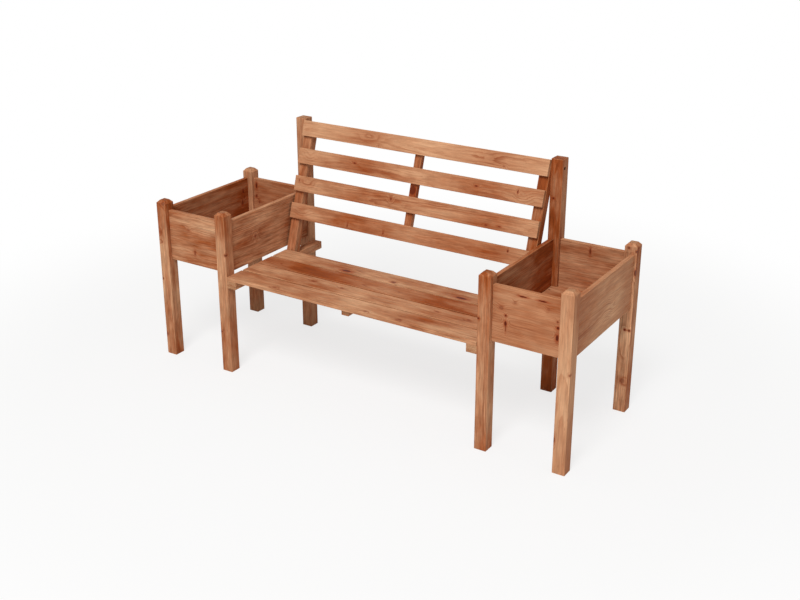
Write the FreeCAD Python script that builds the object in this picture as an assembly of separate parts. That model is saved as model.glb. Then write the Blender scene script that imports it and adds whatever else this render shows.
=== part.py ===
"""Garden bench with a planter box at each end.

Millimetres. X runs along the bench, Y from front to back and Z up.
The origin is on the floor, at the middle of the footprint.
"""
import FreeCAD, Part
import math
import os

# Seat
SEAT_LENGTH = 1130.0  # clear length between the two planters
SEAT_DEPTH = 370.0  # from the front edge to the face of the back boards
SEAT_HEIGHT = 420.0  # top of the boards above the floor
SEAT_BOARDS = 4
SEAT_BOARD_GAP = 8.0
BOARD_THICKNESS = 16.0  # seat and back boards alike
END_CLEARANCE = 1.0  # between a board's end and what it runs up to

# Backrest
BACK_HEIGHT = 530.0  # tops of the tall posts above the seat
BACK_TOP_DROP = 3.0  # top board's upper edge below the tops of the tall posts
BACK_BOARDS = 4
BACK_BOARD_WIDTH = 64.0
BACK_BOARD_LIFT = 141.0  # lowest board's lower edge above the seat, along the slope
STRUT_WIDTH = 42.0
STRUT_THICKNESS = 36.0
STRUT_TOP_DROP = 5.0  # below the top board's upper edge, along the slope
STRUT_REAR_MARGIN = 2.0  # in front of the tall posts' rear faces
BATTEN_WIDTH = 32.0
BATTEN_THICKNESS = 22.0

# Bearers under the seat
BEARER_WIDTH = 42.0
BEARER_HEIGHT = 32.0
BEARER_REAR_SETBACK = 13.0  # in front of the tall posts' rear faces
MIDDLE_BEARER_WIDTH = 32.0
MIDDLE_BEARER_HEIGHT = 22.0
MIDDLE_BEARER_SETBACK = 10.0  # behind the front edge and before the rear edge of the seat

# Planter boxes
BOX_INSIDE_WIDTH = 305.0
BOX_INSIDE_LENGTH = 520.0
BOX_INSIDE_DEPTH = 190.0
BOX_LIFT = 8.0  # lower edges of the panels above the seat
PANEL_THICKNESS = 17.0
SIDE_INSET = 8.0  # side panels behind the outer faces of the posts
END_INSET = 18.0  # front and rear panels behind the outer faces of the posts
FLOOR_BOARDS = 5
FLOOR_THICKNESS = 10.0
FLOOR_GAP = 6.0
CLEAT_WIDTH = 20.0
CLEAT_HEIGHT = 12.0

# Posts
POST_SIDE = 48.0
POST_RISE = 40.0  # flat tops of the short posts above the panels
CAP_HEIGHT = 12.0  # sloped part round the top of a short post
CAP_INSET = 11.0

# Eased edges of the timber
POST_EDGE = 2.0
BOARD_EDGE = 1.5

# Screws, plugs, bolts and dowels
SCREW_DIAMETER = 4.0
HEAVY_SCREW_DIAMETER = 5.0
SCREW_COVER = 6.0  # wood left beyond a screw's tip
HEAVY_SCREW_COVER = 20.0
HEAD_RATIO = 2.0  # head across, in shank diameters
RECESS_REACH = 0.6  # arms of the cross recess, in head radii
RECESS_WIDTH = 0.9
RECESS_DEPTH = 1.6
PLUG_DIAMETER = 11.0
PLUG_DEPTH = 7.0  # from the surface down to the sunk screw's head
BOLT_DIAMETER = 6.0
BOLT_HEAD_DIAMETER = 10.0
BOLT_HEAD_HEIGHT = 6.0
BOLT_SOCKET = 5.0  # across the corners of the hexagon
BOLT_SUNK = 6.0  # head below the post's face
BOLT_HEAD_ROOM = 1.0  # round the head in its bore
BOLT_DROP = 36.0  # below the tops of the tall posts
BOLT_GRIP = 26.0  # length inside the strut
DOWEL_DIAMETER = 8.0
DOWEL_LENGTH = 30.0
DOWEL_EDGE = 45.0  # from a panel's upper and lower edges
HOLE_CLEARANCE = 0.1
HOLE_OVERRUN = 1.0  # a hole's cutting shape past the surface that it opens

# Places worked out from the sizes above
BOX_WIDTH = BOX_INSIDE_WIDTH + 2 * (PANEL_THICKNESS + SIDE_INSET)
HALF_SEAT = SEAT_LENGTH / 2
HALF_LENGTH = HALF_SEAT + BOX_WIDTH
HALF_DEPTH = BOX_INSIDE_LENGTH / 2 + PANEL_THICKNESS + END_INSET
HEIGHT = SEAT_HEIGHT + BACK_HEIGHT
PANEL_BOTTOM = SEAT_HEIGHT + BOX_LIFT
PANEL_TOP = PANEL_BOTTOM + CLEAT_HEIGHT + FLOOR_THICKNESS + BOX_INSIDE_DEPTH
SHORT_POST_HEIGHT = PANEL_TOP + POST_RISE
BEARER_TOP = SEAT_HEIGHT - BOARD_THICKNESS
BACK_FOOT_Y = SEAT_DEPTH - HALF_DEPTH
BACK_TOP_Z = HEIGHT - BACK_TOP_DROP

# The struts' rear faces come out STRUT_REAR_MARGIN before the posts' rear faces at the top
BACK_RUN = HALF_DEPTH - STRUT_REAR_MARGIN - BACK_FOOT_Y
BACK_RISE = BACK_TOP_Z - SEAT_HEIGHT
BACK_STACK = BOARD_THICKNESS + STRUT_THICKNESS
RAKE = math.atan2(BACK_RUN, BACK_RISE) - math.asin(BACK_STACK / math.hypot(BACK_RUN, BACK_RISE))
BACK_SLOPE_LENGTH = BACK_RISE / math.cos(RAKE)
SEAT_REAR_Y = (
    BACK_FOOT_Y
    - BOARD_THICKNESS * math.tan(RAKE)
    + BOARD_THICKNESS / math.cos(RAKE)
    - END_CLEARANCE
)

RIGHT = 1
LEFT = -1
SIDES = {"left": LEFT, "right": RIGHT}


def vector(x, y, z):
    return FreeCAD.Vector(x, y, z)


def block(x_range, y_range, z_range):
    """A plain block between two limits on each axis."""
    low = vector(min(x_range), min(y_range), min(z_range))
    high = vector(max(x_range), max(y_range), max(z_range))
    size = high - low
    return Part.makeBox(size.x, size.y, size.z, low)


def timber(x_range, y_range, z_range, edge=BOARD_EDGE):
    """A block of timber with all its edges eased."""
    plain = block(x_range, y_range, z_range)
    return plain.makeFillet(edge, plain.Edges)


def mirrored(shape, side):
    """The shape itself on the right, its mirror image on the left."""
    if side == RIGHT:
        return shape
    return shape.mirror(vector(0, 0, 0), vector(1, 0, 0))


def leaned(shape):
    """Moves an upright shape into the backrest: Y is depth behind its face and Z runs up its slope."""
    moved = shape.copy()
    moved.rotate(vector(0, 0, 0), vector(1, 0, 0), -math.degrees(RAKE))
    moved.translate(vector(0, BACK_FOOT_Y, SEAT_HEIGHT))
    return moved


def aimed(shape, start, direction):
    """Moves a shape made along Z so that it starts at a point and runs in a direction."""
    moved = shape.copy()
    moved.Placement = FreeCAD.Placement(start, FreeCAD.Rotation(vector(0, 0, 1), direction))
    return moved


def turned(profile):
    """A solid of revolution about Z from (radius, height) points."""
    points = [vector(radius, 0, height) for radius, height in profile]
    face = Part.Face(Part.makePolygon(points + points[:1]))
    return face.revolve(vector(0, 0, 0), vector(0, 0, 1), 360)


# Fasteners, each made along Z from the surface where it is driven in


def screw(diameter, length):
    """A countersunk wood screw with a cross recess."""
    shank = diameter / 2
    head = shank * HEAD_RATIO
    body = turned([(0, 0), (head, 0), (shank, head - shank), (shank, length - diameter), (0, length)])
    arm = head * RECESS_REACH
    slot = RECESS_WIDTH / 2
    along_x = block((-arm, arm), (-slot, slot), (0, RECESS_DEPTH))
    along_y = block((-slot, slot), (-arm, arm), (0, RECESS_DEPTH))
    return body.cut(along_x).cut(along_y)


def screw_hole(diameter, length):
    """The countersunk hole that such a screw sits in."""
    shank = diameter / 2 + HOLE_CLEARANCE
    head = diameter / 2 * HEAD_RATIO + HOLE_CLEARANCE
    return turned([
        (0, -HOLE_OVERRUN),
        (head, -HOLE_OVERRUN),
        (head, 0),
        (shank, head - shank),
        (shank, length + HOLE_CLEARANCE),
        (0, length + HOLE_CLEARANCE),
    ])


def bolt(length):
    """A socket head bolt: the head starts at Z = 0 and the shank ends at the given length."""
    head = Part.makeCylinder(BOLT_HEAD_DIAMETER / 2, BOLT_HEAD_HEIGHT)
    shank = Part.makeCylinder(BOLT_DIAMETER / 2, length)
    corner = BOLT_SOCKET / 2
    turns = [math.radians(degrees) for degrees in range(0, 360, 60)]
    corners = [vector(corner * math.cos(turn), corner * math.sin(turn), 0) for turn in turns]
    hexagon = Part.Face(Part.makePolygon(corners + corners[:1]))
    socket = hexagon.extrude(vector(0, 0, BOLT_HEAD_HEIGHT / 2))
    return head.fuse(shank).removeSplitter().cut(socket)


def bolt_hole(length):
    """The sunk head's bore, open to the surface BOLT_SUNK before the head, and the shank's hole."""
    bore = Part.makeCylinder(
        BOLT_HEAD_DIAMETER / 2 + BOLT_HEAD_ROOM,
        HOLE_OVERRUN + BOLT_SUNK + BOLT_HEAD_HEIGHT,
        vector(0, 0, -BOLT_SUNK - HOLE_OVERRUN),
    )
    shank = Part.makeCylinder(BOLT_DIAMETER / 2 + HOLE_CLEARANCE, length + HOLE_CLEARANCE)
    return bore.fuse(shank)


class Fasteners:
    """Groups of fasteners by name, and the holes that they need."""

    def __init__(self):
        self.groups = {}
        self.holes = []

    def add(self, group, piece, hole):
        self.groups.setdefault(group, []).append(piece)
        self.holes.append(hole)

    def add_screw(self, group, diameter, length, start, direction):
        self.add(
            group,
            aimed(screw(diameter, length), start, direction),
            aimed(screw_hole(diameter, length), start, direction),
        )

    def add_plugged_screw(self, screw_group, plug_group, diameter, length, surface, direction):
        """A screw sunk below the surface, under a wooden plug that ends flush with it."""
        self.add_screw(screw_group, diameter, length, surface + direction * PLUG_DEPTH, direction)
        plug = Part.makeCylinder(PLUG_DIAMETER / 2, PLUG_DEPTH)
        bore = Part.makeCylinder(PLUG_DIAMETER / 2 + HOLE_CLEARANCE, PLUG_DEPTH + HOLE_OVERRUN)
        bore_start = surface - direction * HOLE_OVERRUN
        self.add(plug_group, aimed(plug, surface, direction), aimed(bore, bore_start, direction))

    def add_back_screw(self, group, length, x, depth, along):
        """A screw driven square through the backrest from behind, at a depth behind its face."""
        start = vector(x, depth, along)
        forward = vector(0, -1, 0)
        self.add(
            group,
            leaned(aimed(screw(SCREW_DIAMETER, length), start, forward)),
            leaned(aimed(screw_hole(SCREW_DIAMETER, length), start, forward)),
        )

    def add_bolt(self, group, length, start, direction):
        self.add(
            group,
            aimed(bolt(length), start, direction),
            aimed(bolt_hole(length), start, direction),
        )

    def add_dowel(self, group, middle, direction):
        start = middle - direction * (DOWEL_LENGTH / 2)
        hole_start = middle - direction * (DOWEL_LENGTH / 2 + HOLE_CLEARANCE)
        hole = Part.makeCylinder(DOWEL_DIAMETER / 2 + HOLE_CLEARANCE, DOWEL_LENGTH + 2 * HOLE_CLEARANCE)
        pin = Part.makeCylinder(DOWEL_DIAMETER / 2, DOWEL_LENGTH)
        self.add(group, aimed(pin, start, direction), aimed(hole, hole_start, direction))

    def drill(self, shape):
        """Cuts into a piece the holes that reach it."""
        near = [hole for hole in self.holes if hole.BoundBox.intersect(shape.BoundBox)]
        return shape.cut(near) if near else shape


def spread(low, high, count, gap):
    """Splits a stretch into equal widths with a gap between them: a list of (start, end)."""
    width = (high - low - (count - 1) * gap) / count
    return [(low + i * (width + gap), low + i * (width + gap) + width) for i in range(count)]


def quarter_points(start, end):
    """Two places a quarter of the width in from each edge."""
    return [start + (end - start) / 4, end - (end - start) / 4]


# Posts


def post(x_range, y_range, height, sloped_top):
    """A square post. The top of a short one slopes down all round a flat middle."""
    prism = block(x_range, y_range, (0, height))
    upright = [edge for edge in prism.Edges if edge.BoundBox.ZLength > height / 2]
    shape = prism.makeFillet(POST_EDGE, upright)
    if not sloped_top:
        rim = [edge for edge in shape.Edges if edge.BoundBox.ZMin > height / 2]
        return shape.makeChamfer(BOARD_EDGE, rim)
    top_half = POST_SIDE / 2 - CAP_INSET
    foot_half = top_half + CAP_INSET / CAP_HEIGHT * height
    low = (-foot_half, 0, -foot_half)
    high = (foot_half, height, foot_half)
    pyramid = Part.makeWedge(*low, -top_half, -top_half, *high, top_half, top_half)
    pyramid.rotate(vector(0, 0, 0), vector(1, 0, 0), 90)
    pyramid.translate(vector(sum(x_range) / 2, sum(y_range) / 2, 0))
    return shape.common(pyramid)


def post_ranges():
    """X and Y limits of the four posts of the right-hand planter, by place."""
    inner = (HALF_SEAT, HALF_SEAT + POST_SIDE)
    outer = (HALF_LENGTH - POST_SIDE, HALF_LENGTH)
    front = (-HALF_DEPTH, -HALF_DEPTH + POST_SIDE)
    rear = (HALF_DEPTH - POST_SIDE, HALF_DEPTH)
    return {
        "front_outer_post": (outer, front),
        "front_inner_post": (inner, front),
        "rear_outer_post": (outer, rear),
        "tall_post": (inner, rear),
    }


def planter_posts():
    pieces = {}
    for name, (x_range, y_range) in post_ranges().items():
        tall = name == "tall_post"
        height = HEIGHT if tall else SHORT_POST_HEIGHT
        pieces[name] = post(x_range, y_range, height, not tall)
    return pieces


# Planter boxes, made for the right-hand end


def panel_ranges():
    """X and Y limits of the four panels, by place, and whether each runs along X."""
    between_x = (HALF_SEAT + POST_SIDE, HALF_LENGTH - POST_SIDE)
    between_y = (-HALF_DEPTH + POST_SIDE, HALF_DEPTH - POST_SIDE)
    end_y = HALF_DEPTH - END_INSET
    inner_x = HALF_SEAT + SIDE_INSET
    outer_x = HALF_LENGTH - SIDE_INSET
    return {
        "front_panel": (between_x, (-end_y, -end_y + PANEL_THICKNESS), True),
        "rear_panel": (between_x, (end_y - PANEL_THICKNESS, end_y), True),
        "inner_panel": ((inner_x, inner_x + PANEL_THICKNESS), between_y, False),
        "outer_panel": ((outer_x - PANEL_THICKNESS, outer_x), between_y, False),
    }


def planter_panels(fasteners, side):
    """The four panels, each held to its posts by two dowels at each end."""
    pieces = {}
    for name, (x_range, y_range, along_x) in panel_ranges().items():
        pieces[name] = timber(x_range, y_range, (PANEL_BOTTOM, PANEL_TOP))
        middle = vector(sum(x_range) / 2, sum(y_range) / 2, 0)
        ends = x_range if along_x else y_range
        for end in ends:
            for z in (PANEL_BOTTOM + DOWEL_EDGE, PANEL_TOP - DOWEL_EDGE):
                x = end if along_x else middle.x
                y = middle.y if along_x else end
                direction = vector(1, 0, 0) if along_x else vector(0, 1, 0)
                fasteners.add_dowel("panel_dowels", vector(side * x, y, z), direction)
    return pieces


def cleat_ranges():
    """X limits of the two cleats that carry the floor."""
    inner_x = HALF_SEAT + SIDE_INSET + PANEL_THICKNESS
    outer_x = HALF_LENGTH - SIDE_INSET - PANEL_THICKNESS
    return {
        "inner_floor_cleat": (inner_x, inner_x + CLEAT_WIDTH),
        "outer_floor_cleat": (outer_x - CLEAT_WIDTH, outer_x),
    }


def floor_spans():
    """Y limits of the floor boards, from front to back."""
    half = BOX_INSIDE_LENGTH / 2 - END_CLEARANCE
    return spread(-half, half, FLOOR_BOARDS, FLOOR_GAP)


def planter_cleats(fasteners, side):
    """Cleats along the side panels, screwed to them between the floor boards' own screws."""
    pieces = {}
    reach = HALF_DEPTH - POST_SIDE - END_CLEARANCE
    middle_z = PANEL_BOTTOM + CLEAT_HEIGHT / 2
    length = CLEAT_WIDTH + PANEL_THICKNESS - SCREW_COVER
    spans = floor_spans()
    gaps = [(a[1] + b[0]) / 2 for a, b in zip(spans, spans[1:])]
    for name, x_range in cleat_ranges().items():
        z_range = (PANEL_BOTTOM, PANEL_BOTTOM + CLEAT_HEIGHT)
        pieces[name] = timber(x_range, (-reach, reach), z_range)
        inner = name == "inner_floor_cleat"
        face_x = x_range[1] if inner else x_range[0]
        direction = vector(-side if inner else side, 0, 0)
        for y in gaps:
            start = vector(side * face_x, y, middle_z)
            fasteners.add_screw("floor_cleat_screws", SCREW_DIAMETER, length, start, direction)
    return pieces


def planter_floor(fasteners, side):
    """Floor boards across the box, notched round the posts and screwed to the cleats."""
    pieces = {}
    inner_x = HALF_SEAT + SIDE_INSET + PANEL_THICKNESS + END_CLEARANCE
    outer_x = HALF_LENGTH - SIDE_INSET - PANEL_THICKNESS - END_CLEARANCE
    bottom = PANEL_BOTTOM + CLEAT_HEIGHT
    top = bottom + FLOOR_THICKNESS
    length = FLOOR_THICKNESS + CLEAT_HEIGHT - SCREW_COVER
    notches = []
    for x_range, y_range in post_ranges().values():
        notch_x = (x_range[0] - END_CLEARANCE, x_range[1] + END_CLEARANCE)
        notch_y = (y_range[0] - END_CLEARANCE, y_range[1] + END_CLEARANCE)
        notches.append(block(notch_x, notch_y, (bottom, top)))
    for number, y_range in enumerate(floor_spans(), 1):
        board = timber((inner_x, outer_x), y_range, (bottom, top))
        pieces[f"floor_board_{number}"] = board.cut(notches)
        for x_range in cleat_ranges().values():
            start = vector(side * sum(x_range) / 2, sum(y_range) / 2, top)
            fasteners.add_screw("floor_board_screws", SCREW_DIAMETER, length, start, vector(0, 0, -1))
    return pieces


def planter(fasteners, side_name, side):
    """All the wood of one planter with its posts."""
    pieces = {}
    pieces.update(planter_posts())
    pieces.update(planter_panels(fasteners, side))
    pieces.update(planter_cleats(fasteners, side))
    pieces.update(planter_floor(fasteners, side))
    return {f"{side_name}_{name}": mirrored(shape, side) for name, shape in pieces.items()}


# Seat between the planters


def seat_spans():
    """Y limits of the seat boards, from front to back."""
    return spread(-HALF_DEPTH, SEAT_REAR_Y, SEAT_BOARDS, SEAT_BOARD_GAP)


def seat_boards():
    half = HALF_SEAT - END_CLEARANCE
    return {
        f"seat_board_{number}": timber((-half, half), y_range, (BEARER_TOP, SEAT_HEIGHT))
        for number, y_range in enumerate(seat_spans(), 1)
    }


def side_bearer(fasteners, side):
    """A bearer against the inner faces of a planter's two inner posts, screwed to them under plugs."""
    rear = HALF_DEPTH - BEARER_REAR_SETBACK
    bottom = BEARER_TOP - BEARER_HEIGHT
    inner_x = HALF_SEAT - BEARER_WIDTH
    middle_x = HALF_SEAT - BEARER_WIDTH / 2
    shape = timber((inner_x, HALF_SEAT), (-HALF_DEPTH, rear), (bottom, BEARER_TOP))
    length = BEARER_HEIGHT + BOARD_THICKNESS - SCREW_COVER
    for start_y, end_y in seat_spans():
        for y in quarter_points(start_y, end_y):
            start = vector(side * middle_x, y, bottom)
            fasteners.add_screw("seat_board_screws", SCREW_DIAMETER, length, start, vector(0, 0, 1))
    length = BEARER_WIDTH + POST_SIDE - PLUG_DEPTH - HEAVY_SCREW_COVER
    laps = [(-HALF_DEPTH, -HALF_DEPTH + POST_SIDE), (HALF_DEPTH - POST_SIDE, rear)]
    for start_y, end_y in laps:
        for y in quarter_points(start_y, end_y):
            surface = vector(side * inner_x, y, BEARER_TOP - BEARER_HEIGHT / 2)
            outward = vector(side, 0, 0)
            fasteners.add_plugged_screw(
                "bearer_screws", "bearer_plugs", HEAVY_SCREW_DIAMETER, length, surface, outward
            )
    return mirrored(shape, side)


def middle_bearer(fasteners):
    """A lighter bearer that ties the seat boards together at mid length."""
    half = MIDDLE_BEARER_WIDTH / 2
    bottom = BEARER_TOP - MIDDLE_BEARER_HEIGHT
    y_range = (-HALF_DEPTH + MIDDLE_BEARER_SETBACK, SEAT_REAR_Y - MIDDLE_BEARER_SETBACK)
    length = MIDDLE_BEARER_HEIGHT + BOARD_THICKNESS - SCREW_COVER
    for start_y, end_y in seat_spans():
        for y in quarter_points(start_y, end_y):
            start = vector(0, y, bottom)
            fasteners.add_screw("middle_bearer_screws", SCREW_DIAMETER, length, start, vector(0, 0, 1))
    return timber((-half, half), y_range, (bottom, BEARER_TOP))


# Backrest


def back_spans():
    """Limits of the back boards up the slope, from the lowest to the highest."""
    free = BACK_SLOPE_LENGTH - BACK_BOARD_LIFT - BACK_BOARDS * BACK_BOARD_WIDTH
    return spread(BACK_BOARD_LIFT, BACK_SLOPE_LENGTH, BACK_BOARDS, free / (BACK_BOARDS - 1))


def back_boards():
    half = HALF_SEAT - END_CLEARANCE
    return {
        f"back_board_{number}": leaned(timber((-half, half), (0, BOARD_THICKNESS), span))
        for number, span in enumerate(back_spans(), 1)
    }


def back_strut(fasteners, side):
    """A leaning strut that stands on the bearer and is bolted to the tall post near the top."""
    inner_x = HALF_SEAT - STRUT_WIDTH
    middle_x = HALF_SEAT - STRUT_WIDTH / 2
    rear = BOARD_THICKNESS + STRUT_THICKNESS
    below = -BACK_BOARD_LIFT
    top = BACK_SLOPE_LENGTH - STRUT_TOP_DROP
    whole = leaned(timber((inner_x, HALF_SEAT), (BOARD_THICKNESS, rear), (below, top)))
    above_bearer = block((0, HALF_LENGTH), (-HALF_DEPTH, HALF_DEPTH), (BEARER_TOP, HEIGHT))
    shape = whole.common(above_bearer)

    for span in back_spans():
        for along in quarter_points(*span):
            length = rear - SCREW_COVER
            fasteners.add_back_screw("back_board_screws", length, side * middle_x, rear, along)

    foot_y = SEAT_REAR_Y + END_CLEARANCE + STRUT_THICKNESS / math.cos(RAKE) / 2
    start = vector(side * middle_x, foot_y, BEARER_TOP - BEARER_HEIGHT)
    length = BEARER_HEIGHT + STRUT_THICKNESS - SCREW_COVER
    fasteners.add_screw("strut_foot_screws", HEAVY_SCREW_DIAMETER, length, start, vector(0, 0, 1))

    bolt_z = HEIGHT - BOLT_DROP
    middle_depth = (BOARD_THICKNESS + STRUT_THICKNESS / 2) / math.cos(RAKE)
    bolt_y = BACK_FOOT_Y + (bolt_z - SEAT_HEIGHT) * math.tan(RAKE) + middle_depth
    start = vector(side * (HALF_SEAT + POST_SIDE - BOLT_SUNK), bolt_y, bolt_z)
    length = POST_SIDE - BOLT_SUNK + BOLT_GRIP
    fasteners.add_bolt("strut_bolts", length, start, vector(-side, 0, 0))
    return mirrored(shape, side)


def middle_batten(fasteners):
    """A batten behind the middle of the back boards."""
    half = BATTEN_WIDTH / 2
    rear = BOARD_THICKNESS + BATTEN_THICKNESS
    spans = back_spans()
    for span in spans:
        for along in quarter_points(*span):
            fasteners.add_back_screw("middle_batten_screws", rear - SCREW_COVER, 0, rear, along)
    low = spans[0][0] + STRUT_TOP_DROP
    high = spans[-1][1] - STRUT_TOP_DROP
    return leaned(timber((-half, half), (BOARD_THICKNESS, rear), (low, high)))


def build():
    """All the pieces of the bench by name."""
    fasteners = Fasteners()
    wood = {}
    for side_name, side in SIDES.items():
        wood.update(planter(fasteners, side_name, side))
        wood[f"{side_name}_seat_bearer"] = side_bearer(fasteners, side)
        wood[f"{side_name}_back_strut"] = back_strut(fasteners, side)
    wood["middle_seat_bearer"] = middle_bearer(fasteners)
    wood["middle_back_batten"] = middle_batten(fasteners)
    wood.update(seat_boards())
    wood.update(back_boards())
    pieces = {name: fasteners.drill(shape) for name, shape in wood.items()}
    for group, members in fasteners.groups.items():
        pieces[group] = Part.makeCompound(members)
    return pieces


os.makedirs("parts", exist_ok=True)
for node, solid in build().items():
    solid.exportStep(f"parts/{node}.step")
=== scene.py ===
"""The looks of a garden bench with a planter box at each end, in stained softwood.

Metres. X runs along the bench, Y from front to back and Z up.
"""
import math
import random

import bpy
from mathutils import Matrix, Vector


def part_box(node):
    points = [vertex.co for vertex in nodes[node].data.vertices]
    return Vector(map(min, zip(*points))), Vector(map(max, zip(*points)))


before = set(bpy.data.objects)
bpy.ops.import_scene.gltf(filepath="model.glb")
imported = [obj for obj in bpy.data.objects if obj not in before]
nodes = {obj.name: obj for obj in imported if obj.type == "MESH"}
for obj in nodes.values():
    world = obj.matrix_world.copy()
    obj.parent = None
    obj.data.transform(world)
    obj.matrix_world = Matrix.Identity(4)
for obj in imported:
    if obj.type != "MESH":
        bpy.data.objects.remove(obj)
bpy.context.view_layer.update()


def srgb(red, green, blue):
    """A display colour of 0 to 255 as the linear colour that a shader takes."""
    linear = []
    for level in (red, green, blue):
        share = level / 255
        linear.append(share / 12.92 if share <= 0.04045 else ((share + 0.055) / 1.055) ** 2.4)
    return (*linear, 1.0)


# Colours of the timber
PALE_WOOD = srgb(211, 163, 125)
DEEP_WOOD = srgb(151, 76, 34)
DARKEST_WOOD = srgb(112, 50, 22)
LATE_WOOD = srgb(196, 146, 112)
FLECK = srgb(132, 62, 34)
KNOT_HEART = srgb(86, 26, 8)
KNOT_RIM = srgb(148, 62, 26)
END_GRAIN = srgb(234, 236, 234)
# Lighter colour of the edges: worn wood, and partly a painted highlight along them
WORN_EDGE_AND_HIGHLIGHT = srgb(222, 174, 128)
# Painted shade on the walls of the bolt holes in the tall posts
BORE_SHADE = srgb(44, 20, 12)

# Colours of the dowels, screws and bolts
PALE_BEECH = srgb(222, 190, 146)
DEEP_BEECH = srgb(198, 160, 112)
BEECH_FLECK = srgb(150, 106, 68)
BRIGHT_ZINC = srgb(196, 198, 202)
DULL_ZINC = srgb(150, 148, 142)
# The bolts' blackened steel, made darker still as painted shade in the holes they are sunk in
BRIGHT_BLACK = srgb(34, 32, 31)
DULL_BLACK = srgb(18, 17, 16)

# Sizes in the wood. The knots' bulge pushes the rings aside, and the pith strays from a straight line by
# its wander over a long stretch and by its waver over a short one
RING_SPACING = 0.0055
RING_WANDER = 0.016
RING_WAVER = 0.0024
KNOT_BULGE = 0.010
FACE_KNOT_DEPTH = 0.010
THROUGH_KNOT_DEPTH = 0.030
PATCH_DEPTH = 0.2
EDGE_REACH = 0.0024
# Radius and soft edge of the painted shade in the bolt holes
BORE_RADIUS = 0.0061
BORE_EDGE = 0.0004

# What is drawn for each piece: the shift of its noises, the pith's place across the face (a share of half the
# width) and beyond it, and the pith's slant, sideways for each metre along
HIGHEST_SEED = 10
PITH_ASIDE = 0.6
PITH_BEYOND = (0.01, 0.05)
PITH_TILT = 0.035
STRAY_KNOTS_PER_METRE = 2.2
STRAY_KNOT_REACH = 0.9
STRAY_KNOT_RADII = (0.003, 0.006)
STRAY_KNOT_STRENGTHS = (0.25, 0.8)

# How a seed shifts the noises, and the middle of a noise's colour
SEED_SHIFT = (13.7, 7.3, 5.1)
NOISE_MIDDLE = (0.5, 0.5, 0.5)

# Noises: waves per metre along each axis, detail and roughness. The wood's first axis runs along the grain
WOOD_NOISES = {
    "wander": ((2.6, 6.0, 6.0), 2.0, 0.5),
    "waver": ((16.0, 60.0, 60.0), 3.0, 0.5),
    "figure": ((4.0, 22.0, 22.0), 2.0, 0.5),
    "stain": ((8.0, 18.0, 18.0), 4.0, 0.55),
    "streak": ((12.0, 120.0, 120.0), 3.0, 0.5),
    "fibre": ((14.0, 230.0, 230.0), 4.0, 0.65),
    "speck": ((38.0, 210.0, 210.0), 2.0, 0.5),
}
SHAKE_NOISE = ((120.0, 160.0, 160.0), 3.0, 0.5)
DRIFT_NOISE = ((9.0, 34.0, 34.0), 3.0, 0.5)
BEECH_FLECK_NOISE = ((260.0, 260.0, 900.0), 3.0, 0.5)
BEECH_CLOUD_NOISE = ((40.0, 40.0, 40.0), 2.0, 0.5)
BLOOM_NOISE = ((300.0, 300.0, 300.0), 4.0, 0.6)
SCRATCH_NOISE = ((4000.0, 4000.0, 600.0), 2.0, 0.5)

# How far knots are shaken and patches drift along each axis
SHAKE_REACH = (0.004, 0.003, 0.003)
DRIFT_REACH = (0.16, 0.022, 0.022)

# Bands of colour that follow the rings: waves per metre along the piece and out from the pith
BAND_WAVES = (2.2, 48.0)
BAND_DETAIL = 3.0
BAND_ROUGHNESS = 0.6

# Smooth steps: where the value that is read starts and ends, then the two levels where they aren't 0 and 1.
# What is read is the distance in radii for a knot or patch, and the share of a ring for late wood
STEPS = {
    "knot_core": (1.05, 0.70),
    "knot_rim": (2.3, 0.8),
    "knot_bulge": (4.0, 0.0),
    "patch": (1.3, 0.35),
    "late_wood": (0.35, 0.9),
    "ring_edge": (1.0, 0.93),
    "ring_strength": (0.0, 1.0, 0.15, 1.0),
    "figure": (0.35, 0.70, 0.2, 1.3),
    "fleck": (0.66, 0.78),
    "fibre_shade": (0.25, 0.75, -0.30, 0.24),
    "end_on": (0.75, 0.95),
    "worn_and_highlit_reach": (0.3, 0.75, 0.15, 1.6),
    "wood_roughness": (0.2, 0.8, 0.56, 0.74),
    "facing_right": (0.5, 0.9),
    "beech_fleck": (0.55, 0.75, 0.0, 0.6),
    "beech_roughness": (0.2, 0.8, 0.6, 0.75),
    "steel_roughness": (0.25, 0.75, 0.28, 0.5),
}

# What each noise adds to the tone, and how strongly each feature of the wood colours it
STAIN_IN_TONE = 1.2
STREAK_IN_TONE = 0.42
TONE_SPREAD = 1.05
DARKEST_TONE = 1.5
KNOT_IN_FIGURE = 0.35
LATE_WOOD_SHARE = 0.5
FLECK_SHARE = 0.45
KNOT_RIM_SHARE = 0.7
KNOT_CORE_SHARE = 0.95
# How strongly the edges are lightened, as wear and partly as a painted highlight
WORN_EDGE_AND_HIGHLIGHT_SHARE = 0.25

# What late wood, knots and worn edges add to the roughness, and what raises the surface of the wood
LATE_ROUGHNESS = -0.08
KNOT_ROUGHNESS = -0.10
WORN_ROUGHNESS = 0.06
LATE_HEIGHT = 0.35
FIBRE_HEIGHT = 0.5
KNOT_HEIGHT = 0.5
WOOD_SPECULAR = 0.08

# Strength and height of each bump
WOOD_BUMP = (0.45, 0.0006)
BEECH_BUMP = (0.3, 0.0002)
STEEL_BUMP = (0.25, 0.0001)


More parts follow.
